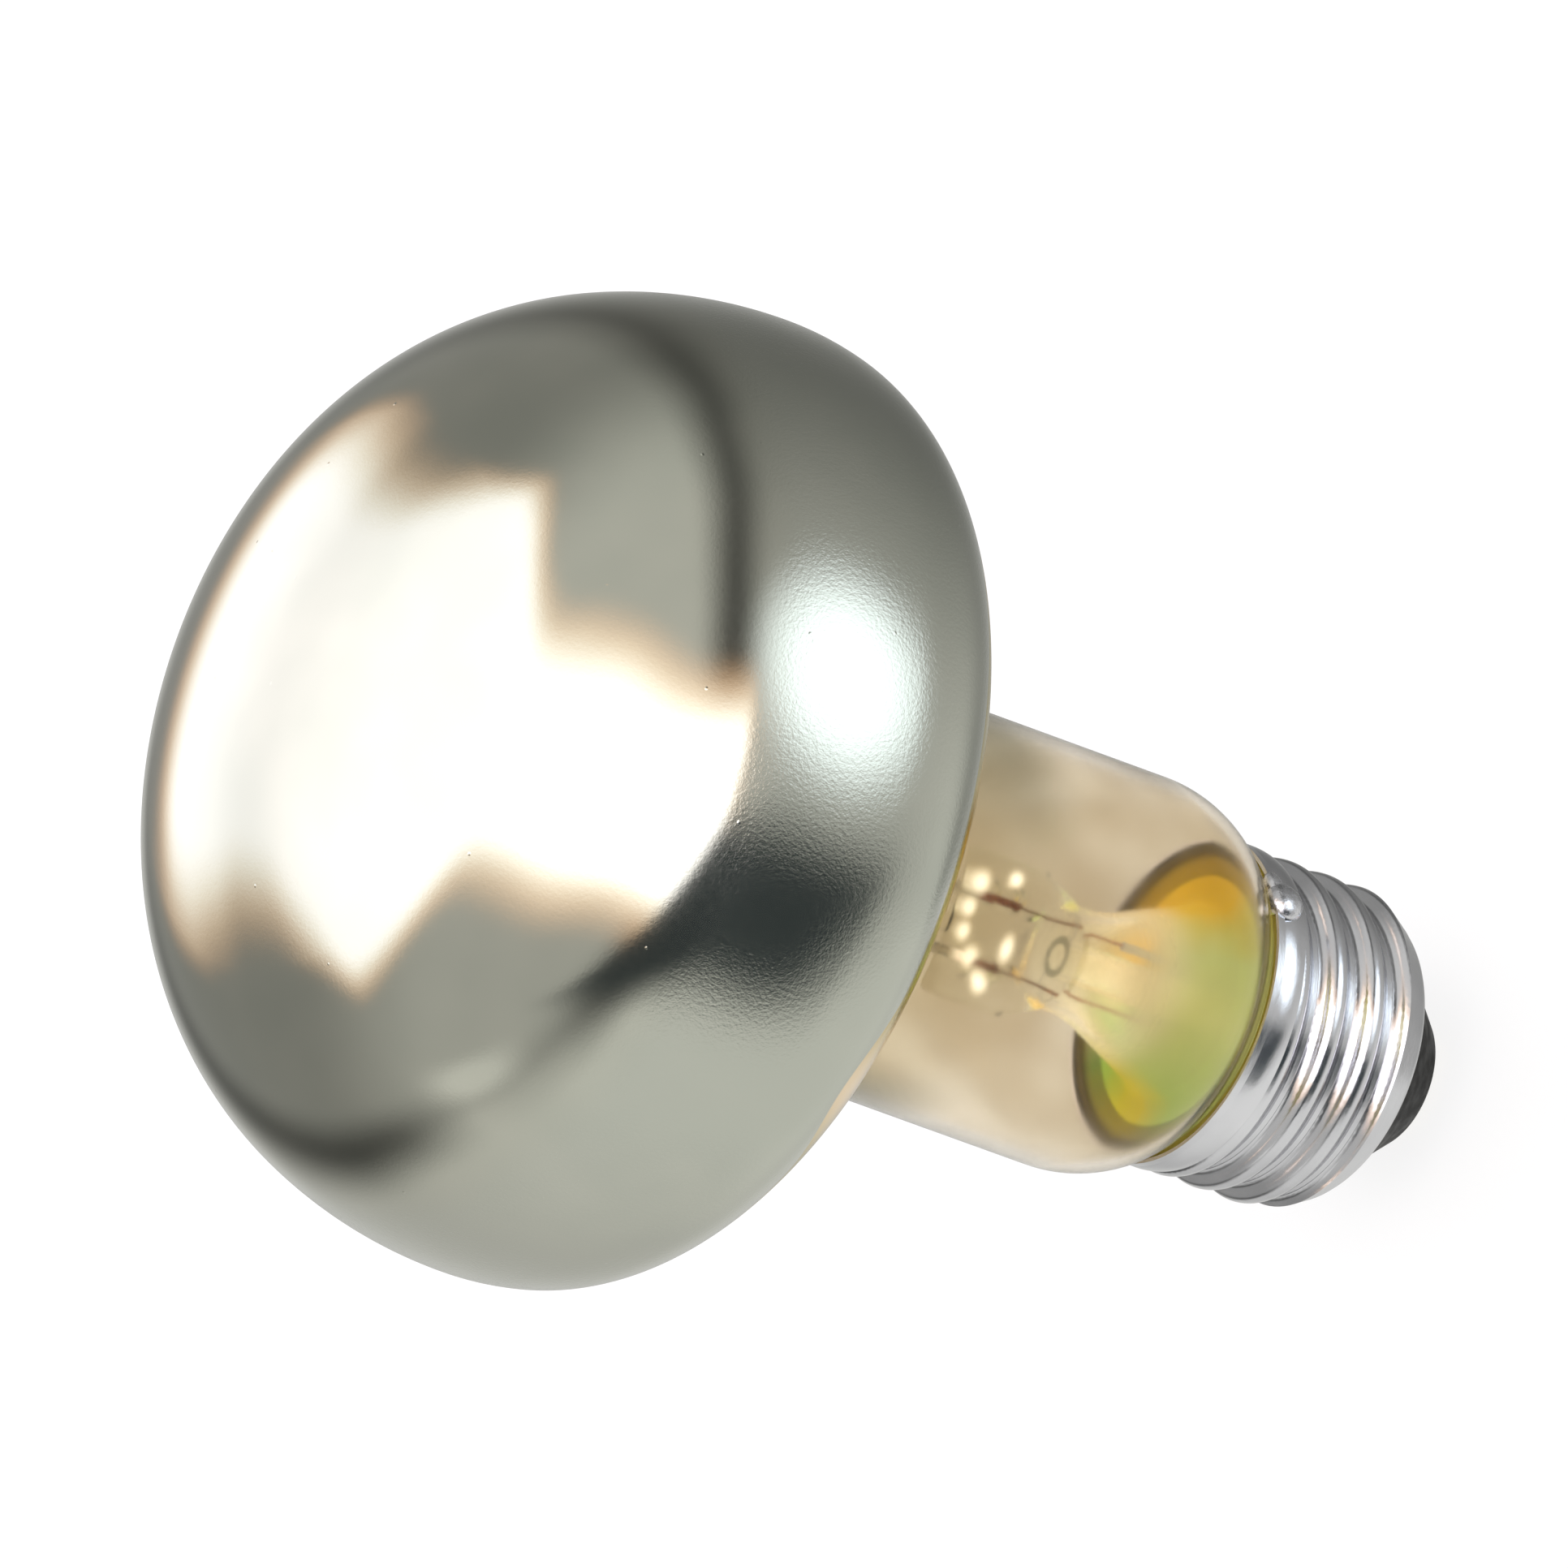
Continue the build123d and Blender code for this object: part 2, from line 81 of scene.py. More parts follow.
def outline(inset):
    """Points (radius, height, zone) of the envelope's section, from the apex to the neck's end."""
    side = (HEAD_RADIUS - SIDE_RADIUS, HEAD_PLANE)
    corner = polar(side, SIDE_RADIUS - CORNER_RADIUS, SIDE_TURN)
    face_radius = CORNER_RADIUS + corner[0] / math.cos(math.radians(FACE_TURN))
    face = polar(corner, CORNER_RADIUS - face_radius, FACE_TURN)
    rear = (HEAD_RADIUS - REAR_SIDE_RADIUS, HEAD_PLANE)
    shoulder = polar(rear, REAR_SIDE_RADIUS - SHOULDER_RADIUS, -REAR_SIDE_TURN)
    back = polar(shoulder, SHOULDER_RADIUS, -BACK_TURN)
    run = NECK_RADIUS + NECK_FILLET - back[0]
    slope = math.radians(BACK_TURN)
    drop = (run * math.cos(slope) - NECK_FILLET) / math.sin(slope)
    fillet = (NECK_RADIUS + NECK_FILLET, back[1] + drop)
    neck_end = (NECK_RADIUS - NECK_END_RADIUS, NECK_END_HEIGHT)
    arcs = (
        (face, face_radius - inset, 90, FACE_TURN, 26, FILM_ZONE),
        (corner, CORNER_RADIUS - inset, FACE_TURN, SIDE_TURN, 40, FILM_ZONE),
        (side, SIDE_RADIUS - inset, SIDE_TURN, 0, 20, FILM_ZONE),
        (rear, REAR_SIDE_RADIUS - inset, 0, -REAR_SIDE_TURN, 10, FILM_ZONE),
        (shoulder, SHOULDER_RADIUS - inset, -REAR_SIDE_TURN, -BACK_TURN, 24, FILM_ZONE),
        (fillet, -NECK_FILLET - inset, -BACK_TURN, 0, 20, GLASS_ZONE),
        (neck_end, NECK_END_RADIUS - inset, 0, -NECK_END_TURN, 24, GLASS_ZONE),
    )
    points = []
    for centre, radius, start, end, steps, zone in arcs:
        for k in range(steps):
            points.append((*polar(centre, radius, start + (end - start) * k / steps), zone))
    points.append((*polar(neck_end, NECK_END_RADIUS - inset, -NECK_END_TURN), GLASS_ZONE))
    return points


def lathe(name, points, materials):
    """Surface turned about Z from (radius, height, material index) points in millimetres."""
    mesh = bpy.data.meshes.new(name)
    bm = bmesh.new()
    rings = []
    for radius, height, _ in points:
        if radius < 1e-6:
            rings.append([bm.verts.new((0, 0, height * MM))])
            continue
        ring = []
        for k in range(TURNS):
            a = 2 * math.pi * k / TURNS
            x, y = radius * MM * math.cos(a), radius * MM * math.sin(a)
            ring.append(bm.verts.new((x, y, height * MM)))
        rings.append(ring)
    for i in range(len(rings) - 1):
        one, two = rings[i], rings[i + 1]
        for k in range(TURNS):
            n = (k + 1) % TURNS
            if len(one) == 1:
                corners = (one[0], two[k], two[n])
            elif len(two) == 1:
                corners = (one[k], two[0], one[n])
            else:
                corners = (one[k], two[k], two[n], one[n])
            face = bm.faces.new(corners)
            face.smooth = True
            face.material_index = points[i][2]
    bmesh.ops.recalc_face_normals(bm, faces=bm.faces)
    bm.to_mesh(mesh)
    bm.free()
    piece = bpy.data.objects.new(name, mesh)
    bpy.context.collection.objects.link(piece)
    for material in materials:
        mesh.materials.append(material)
    return piece


class Nodes:
    """Short helper for node graphs."""

    def __init__(self, tree):
        self.tree = tree

    def add(self, kind, settings=None, **inputs):
        node = self.tree.nodes.new(kind)
        for key, value in (settings or {}).items():
            setattr(node, key, value)
        for key, value in inputs.items():
            self.feed(node.inputs[key.replace("_", " ")], value)
        return node

    def feed(self, socket, value):
        if hasattr(value, "is_output"):
            self.tree.links.new(value, socket)
        else:
            socket.default_value = value

    def math(self, operation, *values, clamp=False):
        node = self.tree.nodes.new("ShaderNodeMath")
        node.operation = operation
        node.use_clamp = clamp
        for socket, value in zip(node.inputs, values):
            self.feed(socket, value)
        return node.outputs[0]

    def smooth(self, value, low, high, to_low=0.0, to_high=1.0):
        """Soft step from to_low, at low, to to_high, at high."""
        node = self.tree.nodes.new("ShaderNodeMapRange")
        node.interpolation_type = "SMOOTHSTEP"
        keys = ("Value", "From Min", "From Max", "To Min", "To Max")
        for key, given in zip(keys, (value, low, high, to_low, to_high)):
            self.feed(node.inputs[key], given)
        return node.outputs[0]

    def ramp(self, value, stops, interpolation="LINEAR"):
        node = self.tree.nodes.new("ShaderNodeValToRGB")
        node.color_ramp.interpolation = interpolation
        elements = node.color_ramp.elements
        elements[0].position, elements[1].position = stops[0][0], stops[-1][0]
        elements[0].color, elements[1].color = grey(stops[0][1]), grey(stops[-1][1])
        for place, colour in stops[1:-1]:
            elements.new(place).color = grey(colour)
        self.feed(node.inputs[0], value)
        return node.outputs[0]

    def mix(self, factor, one, two, blend="MIX"):
        node = self.tree.nodes.new("ShaderNodeMix")
        node.data_type = "RGBA"
        node.blend_type = blend
        self.feed(node.inputs["Factor"], factor)
        self.feed(node.inputs["A"], rgba(one))
        self.feed(node.inputs["B"], rgba(two))
        return node.outputs["Result"]

    def noise(self, scale, detail=3.0, roughness=0.55, vector=None):
        node = self.add("ShaderNodeTexNoise", Scale=scale, Detail=detail, Roughness=roughness)
        self.feed(node.inputs["Vector"], vector or self.place())
        return node.outputs[0]

    def waver(self, scale, detail, amount):
        """Noise about 0, with the amount as its whole spread."""
        return self.math("MULTIPLY", self.math("SUBTRACT", self.noise(scale, detail), 0.5), amount)

    def place(self):
        """Place on the piece, in metres."""
        if not hasattr(self, "_place"):
            self._place = self.tree.nodes.new("ShaderNodeTexCoord").outputs["Object"]
        return self._place

    def split(self, vector):
        node = self.add("ShaderNodeSeparateXYZ")
        self.feed(node.inputs[0], vector)
        return node.outputs

    def height(self):
        """Height above the contact, in millimetres."""
        return self.math("MULTIPLY", self.split(self.place())[2], 1 / MM)

    def angle(self, y, x):
        """Angle of the direction (x, y), in degrees."""
        return self.math("MULTIPLY", self.math("ARCTAN2", y, x), DEGREES)

    def turn(self):
        """Angle round the axis, in degrees."""
        x, y, _ = self.split(self.place())
        return self.angle(y, x)


def grey(value):
    """Opaque colour of a level or of a (red, green, blue) triple."""
    return (value, value, value, 1.0) if isinstance(value, (int, float)) else (*value[:3], 1.0)


def rgba(value):
    """The same, with a node's output left as it is."""
    return value if hasattr(value, "is_output") else grey(value)


def material(name):
    """New material with a principled shader: returns the material, its graph and the shader."""
    m = bpy.data.materials.new(name)
    m.use_nodes = True
    m.cycles.emission_sampling = "NONE"
    tree = m.node_tree
    shader = next(n for n in tree.nodes if n.type == "BSDF_PRINCIPLED")
    return m, Nodes(tree), shader


def bump(graph, shader, height, strength, distance):
    node = graph.add("ShaderNodeBump", Strength=strength, Distance=distance)
    graph.feed(node.inputs["Height"], height)
    graph.feed(shader.inputs["Normal"], node.outputs[0])


def bell(g, value, centre, half):
    """1 at the centre, falling to 0 at half either side."""
    return g.smooth(g.math("ABSOLUTE", g.math("SUBTRACT", value, centre)), 0.0, half, 1.0, 0.0)


def film_material():
    """Frosted glass over a silver film: satin olive grey, a fine grain, a gold edge at the neck."""
    m, g, s = material("satin_film")
    height = g.height()
    wide = bell(g, g.turn(), GOLD_TURN, GOLD_SPREAD)
    edge = g.math("ADD", FILM_EDGE, g.math("MULTIPLY", wide, GOLD_RISE))
    edge = g.math("ADD", edge, g.waver(60.0, 1.0, 0.3))
    gold = g.smooth(g.math("SUBTRACT", edge, height), -0.12, 0.12)
    band = g.smooth(height, HEAD_PLANE + 9.0, HEAD_PLANE + 14.0, 1.0, 0.0)
    cloud = g.noise(38.0, 3.0)
    tone = g.mix(g.smooth(cloud, 0.35, 0.65), (0.425, 0.435, 0.372), (0.485, 0.485, 0.415))
    cool = g.mix(g.math("MULTIPLY", band, 0.2), tone, (0.47, 0.5, 0.46))
    gilt = g.mix(wide, (0.40, 0.33, 0.10), (0.78, 0.62, 0.42))
    g.feed(s.inputs["Base Color"], g.mix(gold, cool, gilt))
    s.inputs["Metallic"].default_value = 1.0
    fine = g.noise(2600.0, 2.0, 0.6)
    rough = g.math("ADD", g.smooth(band, 0.0, 1.0, 0.09, 0.13), g.math("MULTIPLY", fine, 0.05))
    g.feed(s.inputs["Roughness"], rough)
    grain = g.noise(3400.0, 2.5, 0.65)
    coarse = g.noise(900.0, 2.0)
    speck = g.add("ShaderNodeTexVoronoi", Scale=330.0)
    g.feed(speck.inputs["Vector"], g.place())
    some = g.math("GREATER_THAN", speck.outputs["Color"], 0.55)
    dot = g.math("MULTIPLY", some, g.smooth(speck.outputs["Distance"], 0.0, 0.06, 1.0, 0.0))
    relief = g.math("MULTIPLY", grain, g.smooth(band, 0.0, 1.0, 0.12, 1.0))
    relief = g.math("ADD", relief, g.math("MULTIPLY", coarse, 0.07))
    relief = g.math("ADD", relief, g.math("MULTIPLY", dot, 0.8))
    bump(g, s, relief, 0.35, 0.00006)
    return m


def tinted_glass():
    """Neck and bowl glass: champagne tint in broad soft clouds, with painted grey shade at the
    neck's sides beside the bowl.
    """
    m, g, s = material("champagne_glass")
    height = g.height()
    cloud = g.noise(46.0, 2.0)
    tint = g.mix(g.smooth(cloud, 0.35, 0.62), (0.66, 0.57, 0.42), (0.91, 0.85, 0.73))
    upper = g.smooth(height, 42.0, 55.0)
    tint = g.mix(g.math("MULTIPLY", upper, 0.5), tint, (0.62, 0.54, 0.36))
    # Painted shade: the glass is greyer at the neck's two sides next to the bowl.
    x = g.split(g.place())[0]
    side = g.math("ADD", g.smooth(x, 0.004, 0.014), g.smooth(x, -0.011, -0.015))
    painted_shade = g.math("MULTIPLY", side, g.smooth(height, 42.0, 50.0))
    g.feed(s.inputs["Base Color"], g.mix(g.math("MULTIPLY", painted_shade, 0.8), tint, (0.33, 0.32, 0.25)))
    s.inputs["Transmission Weight"].default_value = 1.0
    s.inputs["IOR"].default_value = 1.24
    g.feed(s.inputs["Roughness"], g.smooth(g.noise(120.0), 0.3, 0.7, 0.09, 0.16))
    bump(g, s, g.noise(30.0, 1.0), 0.15, 0.0006)
    return m


def seal_tint(g):
    """Colour behind the seal by the angle round the axis: amber on one side, green opposite."""
    turn = g.math("ADD", g.turn(), g.waver(160.0, 2.0, 50.0))
    spot = g.math("DIVIDE", g.math("ADD", turn, 180.0), 360.0)
    tints = (
        (-180, (0.70, 0.64, 0.10)), (-150, (0.52, 0.66, 0.26)), (-90, (0.70, 0.76, 0.42)),
        (-55, (0.64, 0.72, 0.36)), (-35, (0.64, 0.60, 0.16)), (-15, (0.72, 0.54, 0.05)),
        (70, (0.75, 0.52, 0.03)), (90, (0.74, 0.62, 0.30)), (105, (0.78, 0.72, 0.46)),
        (130, (0.40, 0.62, 0.16)), (155, (0.72, 0.66, 0.06)), (180, (0.70, 0.64, 0.10)))
    return g.ramp(spot, [((a + 180.0) / 360.0, c) for a, c in tints])


# Painted glints, bright spots of light on the pinched press: x, height, half width and half height,
# in millimetres
PAINTED_GLINT_SPOTS = (
    (3.4, 44.5, 1.2, 0.9), (1.3, 44.7, 1.0, 0.6), (-0.6, 44.5, 1.0, 0.6), (-2.3, 43.2, 1.1, 0.9),
    (-3.9, 41.6, 1.1, 0.9), (-0.8, 40.3, 1.4, 0.7), (4.5, 41.6, 0.8, 0.8))


def painted_glint_mask(g, y):
    """1 at the middle of each painted glint, on the front of the press only."""
    painted_glints = 0.0
    for across, up, wide, tall in PAINTED_GLINT_SPOTS:
        flat = g.add("ShaderNodeVectorMath", {"operation": "MULTIPLY_ADD"})
        g.feed(flat.inputs[0], g.place())
        flat.inputs[1].default_value = (1 / MM / wide, 0.0, 1 / MM / tall)
        flat.inputs[2].default_value = (-across / wide, 0.0, -up / tall)
        far = g.add("ShaderNodeVectorMath", {"operation": "LENGTH"})
        g.feed(far.inputs[0], flat.outputs[0])
        painted_glints = g.math("MAXIMUM", painted_glints, g.smooth(far.outputs["Value"], 0.1, 1.25, 1.0, 0.0))
    return g.math("MULTIPLY", painted_glints, g.smooth(y, -0.0002, 0.0002, 1.0, 0.0))


def clear_glass():
    """Stem glass: clear above, clouded and tinted low down with a painted glow, and painted glints
    as bright spots in the press.
    """
    m, g, s = material("stem_glass")
    height = g.height()
    x, y, _ = g.split(g.place())
    squares = g.math("ADD", g.math("POWER", x, 2.0), g.math("POWER", y, 2.0))
    rim = g.smooth(g.math("MULTIPLY", g.math("SQRT", squares), 1 / MM), 4.2, 7.0)
    cream = g.mix(g.noise(200.0), (0.84, 0.74, 0.54), (0.94, 0.87, 0.70))
    sealed = g.mix(rim, cream, seal_tint(g))
    bare = g.mix(g.noise(300.0), (0.90, 0.91, 0.84), (0.98, 0.97, 0.94))
    up = g.smooth(height, 25.0, 32.0)
    # Painted glints: the glass turns white, less clear and glowing at the press's spots.
    painted_glints = painted_glint_mask(g, y)
    g.feed(s.inputs["Base Color"], g.mix(painted_glints, g.mix(up, sealed, bare), (0.95, 0.95, 0.92)))
    clearing = g.smooth(up, 0.0, 1.0, 0.35, 1.0)
    clearing = g.math("MULTIPLY", clearing, g.smooth(painted_glints, 0.0, 1.0, 1.0, 0.3))
    g.feed(s.inputs["Transmission Weight"], clearing)
    s.inputs["IOR"].default_value = 1.15
    rough = g.math("MULTIPLY", g.noise(500.0), 0.05)
    g.feed(s.inputs["Roughness"], g.math("ADD", g.smooth(up, 0.0, 1.0, 0.3, 0.05), rough))
    # Painted light: low down the stem glows in its own tint, more towards the rim, and the painted
    # glints glow brighter.
    low_down = g.smooth(height, 30.0, 37.0, 1.0, 0.0)
    painted_light = g.math("MULTIPLY", low_down, g.smooth(rim, 0.0, 1.0, 0.16, 0.46))
    painted_light = g.math("MAXIMUM", painted_light, g.math("MULTIPLY", painted_glints, 1.9))
    g.feed(s.inputs["Emission Color"], g.mix(painted_glints, g.mix(up, sealed, cream), (1.0, 1.0, 0.97)))
    g.feed(s.inputs["Emission Strength"], painted_light)
    bump(g, s, g.noise(420.0, 2.0), 0.35, 0.0003)
    return m


def wire(name, colour, sleeve=None, upper=None, change=None):
    """Lead wire, with a pale sleeve between two heights, or of another metal above a change."""
    m, g, s = material(name)
    height = g.height()
    dull = g.mix(g.noise(900.0), (0.86, 0.86, 0.86), WHITE)
    tone, shine = rgba(colour), 1.0
    if upper:
        tone = g.mix(g.smooth(height, *change), tone, upper)
    if sleeve:
        foot = g.smooth(height, sleeve[0] - 0.1, sleeve[0])
        inside = g.math("MULTIPLY", foot, g.smooth(height, sleeve[1], sleeve[1] + 0.1, 1.0, 0.0))
        tone = g.mix(inside, tone, (0.72, 0.66, 0.70))
        shine = g.math("SUBTRACT", 1.0, inside)
    g.feed(s.inputs["Base Color"], g.mix(1.0, tone, dull, "MULTIPLY"))
    g.feed(s.inputs["Metallic"], shine)
    g.feed(s.inputs["Roughness"], g.smooth(g.noise(1200.0), 0.3, 0.7, 0.25, 0.42))
    bump(g, s, g.noise(4000.0), 0.3, 0.00002)
    return m


def metal(name, dark, light, scale, rough, grain, stretch=None, depth=0.00002, strength=0.3):
    """Bare metal: two tones by a cloud, a grain, and roughness that varies between two values."""
    m, g, s = material(name)
    g.feed(s.inputs["Base Color"], g.mix(g.smooth(g.noise(scale), 0.3, 0.7), dark, light))
    s.inputs["Metallic"].default_value = 1.0
    g.feed(s.inputs["Roughness"], g.smooth(g.noise(scale * 3.0), 0.3, 0.7, *rough))
    vector = None
    if stretch:
        node = g.add("ShaderNodeMapping")
        g.feed(node.inputs["Vector"], g.place())
        node.inputs["Scale"].default_value = stretch
        vector = node.outputs[0]
    bump(g, s, g.noise(grain, 3.0, 0.6, vector), strength, depth)
    return m


def black_glass():
    """Black glass of the cap's insulator, dull, so that it stays black under a bright world."""
    m, g, s = material("black_glass")
    blacks = (0.003, 0.003, 0.003), (0.010, 0.009, 0.008)
    g.feed(s.inputs["Base Color"], g.mix(g.noise(250.0), *blacks))
    g.feed(s.inputs["Roughness"], g.smooth(g.noise(700.0), 0.3, 0.7, 0.3, 0.45))
    s.inputs["Specular IOR Level"].default_value = 0.05
    bump(g, s, g.noise(180.0, 2.0), 0.3, 0.0002)
    return m


def cement():
    """Basing cement: the seal's colours under the glass, lit there by a painted glow, plain ochre
    round the neck.
    """
    m, g, s = material("basing_cement")
    height = g.height()
    tint = seal_tint(g)
    ring = g.smooth(height, UNDER_SEAL - 0.4, UNDER_SEAL)
    g.feed(s.inputs["Base Color"], g.mix(ring, tint, (0.50, 0.40, 0.06)))
    g.feed(s.inputs["Roughness"], g.smooth(g.noise(900.0), 0.3, 0.7, 0.45, 0.85))
    # Painted light: under the seal the cement glows in its own tint, standing in for light that
    # comes through the glass.
    g.feed(s.inputs["Emission Color"], tint)
    glow = g.smooth(height, UNDER_SEAL - 0.2, UNDER_SEAL + 0.2, 0.4, 0.0)
    g.feed(s.inputs["Emission Strength"], glow)
    bump(g, s, g.noise(1500.0, 4.0, 0.7), 0.6, 0.0002)
    return m


film = film_material()
champagne = tinted_glass()
clear = clear_glass()
aluminium = metal(
    "cap_aluminium", (0.54, 0.54, 0.56), (0.64, 0.64, 0.66), 90.0, (0.13, 0.24), 700.0,
    stretch=(1, 1, 3.0), depth=0.00006, strength=0.25)
solder = metal(
    "solder", (0.5, 0.5, 0.52), (0.68, 0.68, 0.7), 600.0, (0.16, 0.38), 900.0,
    depth=0.0002, strength=0.5)
brass = metal("contact_brass", (0.6, 0.46, 0.2), (0.76, 0.62, 0.33), 300.0, (0.18, 0.34), 1500.0)
inner_wire = wire(
    "inner_wire", (0.50, 0.17, 0.10), upper=(0.62, 0.58, 0.50), change=(43.0, 43.8))
copper = wire("outer_wire", COPPER)
fused = wire("fused_wire", COPPER, sleeve=FUSE)
tungsten = metal(
    "tungsten_wire", (0.16, 0.16, 0.17), (0.3, 0.3, 0.32), 900.0, (0.35, 0.5), 5000.0)

dressing = {
    "glass_stem": clear,
    "glass_arbor": clear,
    "exhaust_tube": clear,
    "inner_lead_rim": inner_wire,
    "inner_lead_centre": inner_wire,
    "outer_lead_rim": fused,
    "outer_lead_centre": copper,
    "filament_support_1": tungsten,
    "filament_support_2": tungsten,
    "filament_support_3": tungsten,
    "filament": tungsten,
    "cap_shell": aluminium,
    "insulator": black_glass(),
    "contact_plate": brass,
    "centre_solder": solder,
    "rim_solder": solder,
    "basing_cement": cement(),
}
for node, look in dressing.items():
    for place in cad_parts[node].material_slots:
        place.material = look

# Envelope: the same shell turned finer, a hair inside the solid, so that reflections run smoothly
outer, inner = outline(HAIR), outline(WALL)
for skin in (outer, inner):
    skin[0] = (0.0, *skin[0][1:])
section = outer + inner[::-1]
envelope = lathe("envelope_glass", section, [film, champagne])
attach(envelope, "root")
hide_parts("glass_envelope")


def curve(g, value, top, stops):
    """Smooth curve through (place, level) stops, in order of place, with levels up to top."""
    low, high = stops[0][0], stops[-1][0]
    spot = g.math("DIVIDE", g.math("SUBTRACT", value, low), high - low)
    levels = [((p - low) / (high - low), v / top) for p, v in stops]
    return g.math("MULTIPLY", g.ramp(spot, levels, "CARDINAL"), top)


def room(g, x, y, rise, turn):
    """Grey walls above a dim skyline, and a table tone below it."""
    # Elevation of the skyline plus 30, because a ramp's colours don't go below 0
    skyline = curve(g, turn, 60, (
        (-180, 42), (-135, 47), (-45, 48), (-15, 42), (15, 33), (45, 23), (90, 14), (120, 19),
        (150, 32), (180, 42)))
    over = g.math("SUBTRACT", rise, g.math("SUBTRACT", skyline, 30.0))
    wall = g.smooth(y, 0.0, 0.6, g.smooth(x, -0.6, 0.6, 0.66, 0.83), 0.37)
    streak = g.math("MULTIPLY", bell(g, y, -0.08, 0.3), bell(g, rise, 20.0, 8.0))
    streak = g.math("MULTIPLY", g.smooth(x, -0.5, -0.8, 0.0, 0.55), streak)
    wall = g.math("ADD", wall, streak)
    table = curve(g, turn, 1.2, (
        (-180, 0.9), (-135, 1.02), (-95, 0.7), (-60, 0.7), (-30, 0.58), (-5, 0.44), (30, 0.26),
        (60, 0.27), (80, 0.45), (105, 0.68), (145, 0.7), (180, 0.9)))
    table = g.math("ADD", table, g.smooth(rise, -35.0, -70.0, 0.0, 0.2))
    step = g.math("MULTIPLY", g.smooth(over, -3.0, 4.0), g.math("SUBTRACT", wall, table))
    strip = g.math("MULTIPLY", bell(g, over, 0.0, 12.0), curve(g, turn, 1, (
        (-180, 0.1), (-150, 0.4), (-135, 0.8), (-45, 0.85), (0, 0.7), (40, 0.5), (70, 0.3),
        (90, 0.1), (105, 0.5), (130, 0.75), (160, 0.7), (180, 0.1))))
    tone = g.math("MULTIPLY", g.math("ADD", step, table), g.math("SUBTRACT", 1.0, strip))
    return g.mix(tone, BLACK, (1.0, 1.0, 0.97))


def window(g, x, y, z, rise):
    """Warm window overhead with a soft edge: how far a direction is inside it, and its light."""
    across = g.math("MULTIPLY", g.math("ABSOLUTE", g.math("ARCSINE", x)), DEGREES)
    along = g.angle(y, z)
    width = curve(g, along, 60, (
        (-100, 32), (-85, 31), (-72, 29), (-56, 26), (-33, 28), (-16, 25), (0, 23), (24, 37),
        (35, 31), (46, 23), (58, 19), (69, 18.5), (80, 16), (90, 10), (97, 5), (104, 0), (110, 0)))
    front = g.smooth(y, -0.3, 0.2)
    left = g.math("MULTIPLY", g.smooth(x, -0.1, -0.4, 0.0, 6.0), g.math("SUBTRACT", 1.0, front))
    outside = g.math("ADD", g.math("SUBTRACT", g.math("SUBTRACT", across, 1.0), width), left)
    near = g.math("SUBTRACT", g.math("MULTIPLY", front, 6.0), 12.0)
    far = g.math("SUBTRACT", 12.0, g.math("MULTIPLY", front, 5.0))
    foot = g.smooth(y, -0.2, 0.2, g.smooth(rise, 8.0, 12.0), g.smooth(rise, -8.0, 8.0))
    core = g.math("MULTIPLY", g.smooth(outside, near, far, 1.0, 0.0), foot)
    warm = g.ramp(core, (
        (0.0, (1.0, 0.52, 0.24)), (0.4, (1.0, 0.72, 0.52)), (0.75, (1.0, 0.91, 0.85)),
        (1.0, (1.0, 0.97, 1.04))))
    level = curve(g, along, 4, (
        (-100, 3.0), (-40, 3.1), (-5, 2.7), (14, 2.5), (34, 2.4), (56, 2.0), (72, 2.3), (110, 2.2)))
    light = g.add("ShaderNodeVectorMath", {"operation": "SCALE"}, Scale=level)
    g.feed(light.inputs[0], warm)
    return core, light.outputs[0]


def dark_patch(g, rise, turn):
    """1 on a dark patch to the front, slanting at its sides, its top and its foot."""
    lean = g.math("ADD", turn, g.math("MULTIPLY", g.math("MAXIMUM", rise, 0.0), 0.8))
    one_side, other_side = g.smooth(lean, -131.0, -114.0), g.smooth(turn, -92.0, -76.0, 1.0, 0.0)
    above = g.math("ADD", rise, g.math("MULTIPLY", g.math("ADD", turn, 84.0), 0.3))
    below = g.math("ADD", rise, g.math("MULTIPLY", g.math("ADD", turn, 112.0), 0.4))
    ends = g.math("MULTIPLY", g.smooth(below, -44.0, -20.0), g.smooth(above, 8.0, 12.0, 1.0, 0.0))
    return g.math("MULTIPLY", g.math("MULTIPLY", one_side, other_side), ends)


def surroundings(g, way):
    """Light that comes from a direction: room, window overhead, dark patch and cool light patch."""
    x, y, z = g.split(way)
    rise = g.math("MULTIPLY", g.math("ARCSINE", z), DEGREES)
    turn = g.angle(y, x)
    core, light = window(g, x, y, z, rise)
    colour = g.mix(core, room(g, x, y, rise, turn), light)
    colour = g.mix(dark_patch(g, rise, turn), colour, (0.05, 0.062, 0.068))
    dot = g.add("ShaderNodeVectorMath", {"operation": "DOT_PRODUCT"})
    g.feed(dot.inputs[0], way)
    dot.inputs[1].default_value = (0.65, -0.725, -0.24)
    off = g.math("MULTIPLY", g.math("ARCCOSINE", dot.outputs["Value"]), DEGREES)
    return g.mix(g.smooth(off, 29.0, 9.0), colour, (2.4, 2.65, 2.9))


def rays(g):
    """Light Path's outputs, and 1 on rays that see plain white: the camera's and through glass."""
    path = g.add("ShaderNodeLightPath").outputs
    return path, g.math("MAXIMUM", path["Is Camera Ray"], path["Is Transmission Ray"])


def studio():
    """World: the surroundings, and plain white to the camera and through clear glass."""
    world = bpy.data.worlds.new("studio")
    bpy.context.scene.world = world
    world.use_nodes = True
    world.cycles.sampling_method = "NONE"
    g = Nodes(world.node_tree)
    colour = surroundings(g, g.add("ShaderNodeTexCoord").outputs["Generated"])
    _, seen = rays(g)
    back = next(n for n in g.tree.nodes if n.type == "BACKGROUND")
    g.feed(back.inputs["Color"], g.mix(seen, colour, WHITE))
    back.inputs["Strength"].default_value = 1.0


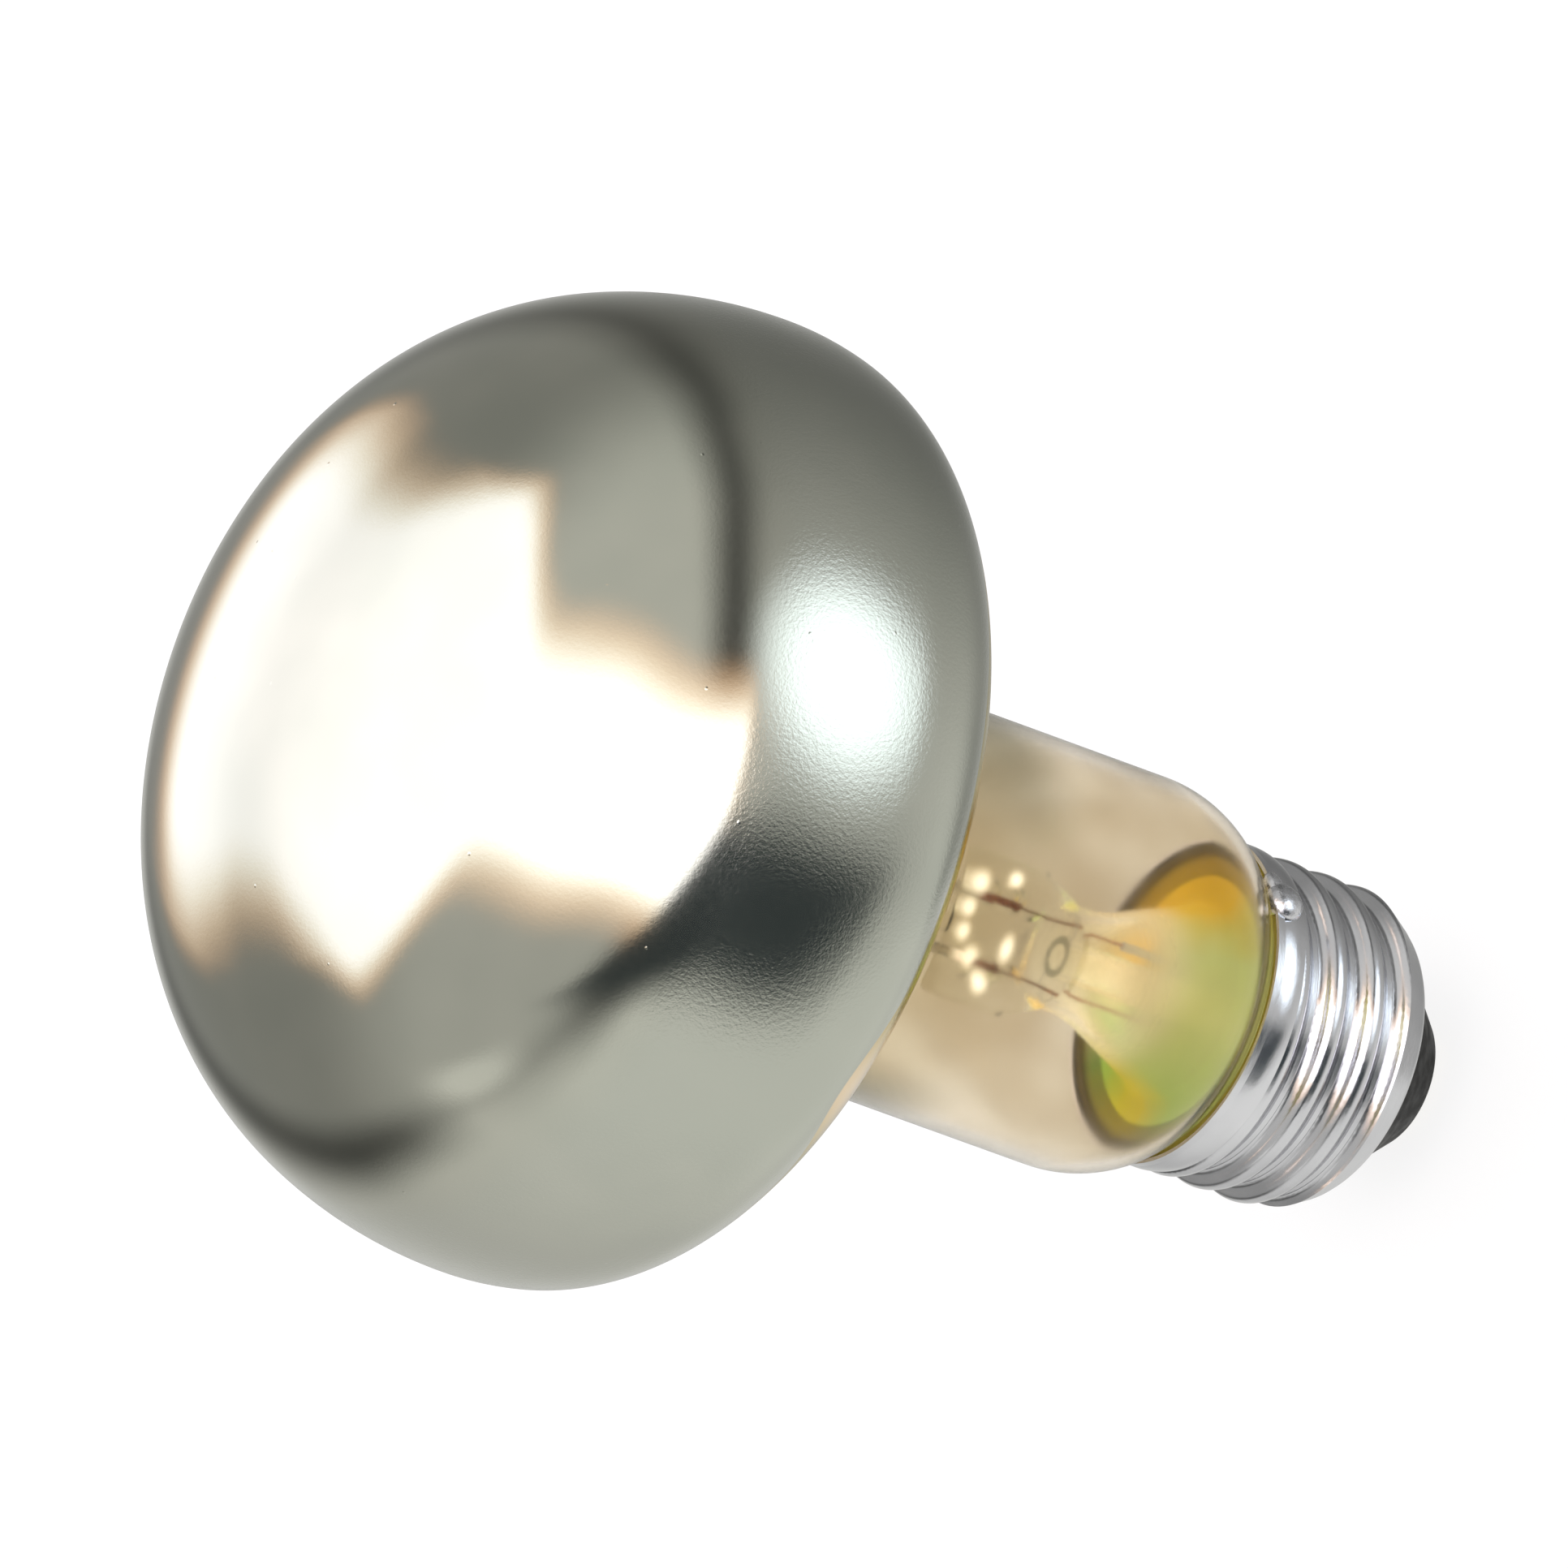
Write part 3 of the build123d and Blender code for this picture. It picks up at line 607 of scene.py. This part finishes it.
def floor():
    """Pale floor that keeps the shadow: white to the eye, and passed by mirror rays."""
    bpy.ops.mesh.primitive_circle_add(
        vertices=96, radius=FLOOR_RADIUS, fill_type="NGON", location=(0, 0, -FLOOR_DROP))
    piece = bpy.context.object
    piece.name = "floor"
    m = bpy.data.materials.new("pale_floor")
    m.use_nodes = True
    m.cycles.emission_sampling = "NONE"
    tree = m.node_tree
    tree.nodes.clear()
    g = Nodes(tree)
    path, seen = rays(g)
    mirrored = g.math("SUBTRACT", path["Is Glossy Ray"], seen, clamp=True)
    cloud = g.mix(g.noise(3.0), (0.42, 0.42, 0.42), (0.46, 0.46, 0.46))
    diffuse = g.add("ShaderNodeBsdfDiffuse", Color=g.mix(seen, cloud, 1.0 - FLOOR_GLOW))
    strength = g.math("MULTIPLY", seen, FLOOR_GLOW)
    glow = g.add("ShaderNodeEmission", Color=rgba(WHITE), Strength=strength)
    total = g.add("ShaderNodeAddShader")
    tree.links.new(diffuse.outputs[0], total.inputs[0])
    tree.links.new(glow.outputs[0], total.inputs[1])
    past = g.add("ShaderNodeMixShader")
    g.feed(past.inputs[0], mirrored)
    tree.links.new(total.outputs[0], past.inputs[1])
    tree.links.new(g.add("ShaderNodeBsdfTransparent").outputs[0], past.inputs[2])
    out = g.add("ShaderNodeOutputMaterial")
    tree.links.new(past.outputs[0], out.inputs["Surface"])
    piece.data.materials.append(m)


def camera():
    """Long lens above the horizon, rolled so that the lamp's axis points down to the right."""
    tilt, roll = math.radians(32.5), math.radians(70.0)
    back = Vector((0, -math.cos(tilt), math.sin(tilt)))
    across = Vector((1, 0, 0))
    rise = Vector((0, math.sin(tilt), math.cos(tilt)))
    right = math.cos(roll) * across - math.sin(roll) * rise
    up = math.sin(roll) * across + math.cos(roll) * rise
    pixels, per_mm = 1932.0, 16.0
    seen_x, seen_y = 755.0, 980.0
    aim = Vector((0, 0, HEAD_PLANE * MM))
    aim -= right * ((seen_x - pixels / 2) / per_mm * MM)
    aim += up * ((seen_y - pixels / 2) / per_mm * MM)
    distance = 5.5
    data = bpy.data.cameras.new("camera")
    data.sensor_width = 36.0
    data.lens = data.sensor_width * distance / (pixels / per_mm * MM)
    data.clip_start, data.clip_end = 0.1, 60.0
    o = bpy.data.objects.new("camera", data)
    bpy.context.collection.objects.link(o)
    axes = Matrix((right, up, back)).transposed().to_4x4()
    o.matrix_world = Matrix.Translation(aim + back * distance) @ axes
    bpy.context.scene.camera = o


studio()
floor()
camera()
bpy.context.scene.view_settings.view_transform = "Standard"
